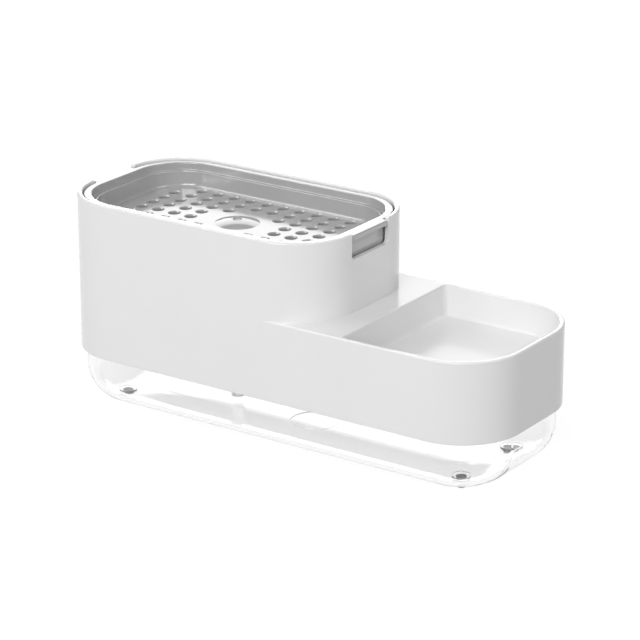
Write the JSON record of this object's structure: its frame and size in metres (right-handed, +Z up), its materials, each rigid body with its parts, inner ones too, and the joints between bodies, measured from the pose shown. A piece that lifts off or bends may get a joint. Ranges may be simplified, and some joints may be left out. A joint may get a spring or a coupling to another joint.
{
  "type": "soap pump caddy",
  "caption": "Counter-top soap dispenser with a press-down drain tray over a pump, a clear soap tank below and an open caddy pocket beside the tower.",
  "frame": {"origin": "bottom centre of the bounding box, on the plane under the rubber feet", "axes": "+X along the length from the tower to the pocket, +Y to the back, +Z up"},
  "size_m": [0.228, 0.087, 0.1],
  "materials": {
    "white_gloss": "gloss moulded, cool white",
    "grey_gloss": "gloss moulded, mid grey",
    "clear_plastic": "clear, polished mould",
    "dark_rubber": "matt",
    "soft_seal": "matt silicone",
    "natural_plastic": "translucent natural",
    "white_matte": "fine matt",
    "spring_steel": "drawn wire",
    "bright_steel": "polished ball"
  },
  "bodies": {
    "tank_body": {"tank": "clear_plastic", "tank_seal": "soft_seal", "foot_front_left": "dark_rubber", "foot_front_right": "dark_rubber", "foot_back_left": "dark_rubber", "foot_back_right": "dark_rubber"},
    "shell_body": {"upper_shell": "white_gloss", "pump_gasket": "soft_seal", "pump_housing": "natural_plastic", "dip_tube": "natural_plastic", "pump_collar": "white_matte", "pump_chaplet": "natural_plastic", "ball_cage": "natural_plastic", "pump_spring": "spring_steel"},
    "stem_body": {"pump_stem": "natural_plastic", "piston": "white_matte", "pump_head": "white_matte"},
    "tray_body": {"press_tray": "grey_gloss", "outlet_valve": "soft_seal"},
    "inlet_ball_body": {"inlet_ball": "bright_steel"},
    "outlet_ball_body": {"outlet_ball": "bright_steel"}
  },
  "joints": [
    {"name": "shell_lift", "type": "slide", "parent": "tank_body", "child": "shell_body", "axis": [0, 0, 1], "range_m": [0, 0.05]},
    {"name": "pump_press", "type": "slide", "parent": "shell_body", "child": "stem_body", "axis": [0, 0, 1], "range_m": [-0.006, 0], "stiffness_N_per_m": 700, "springref_m": 0.006, "deforming": ["pump_spring"]},
    {"name": "tray_lift", "type": "slide", "parent": "stem_body", "child": "tray_body", "axis": [0, 0, 1], "range_m": [0, 0.05]},
    {"name": "inlet_ball_lift", "type": "slide", "parent": "shell_body", "child": "inlet_ball_body", "axis": [0, 0, 1], "range_m": [0, 0.0012]},
    {"name": "outlet_ball_lift", "type": "slide", "parent": "stem_body", "child": "outlet_ball_body", "axis": [0, 0, 1], "range_m": [0, 0.001]}
  ]
}
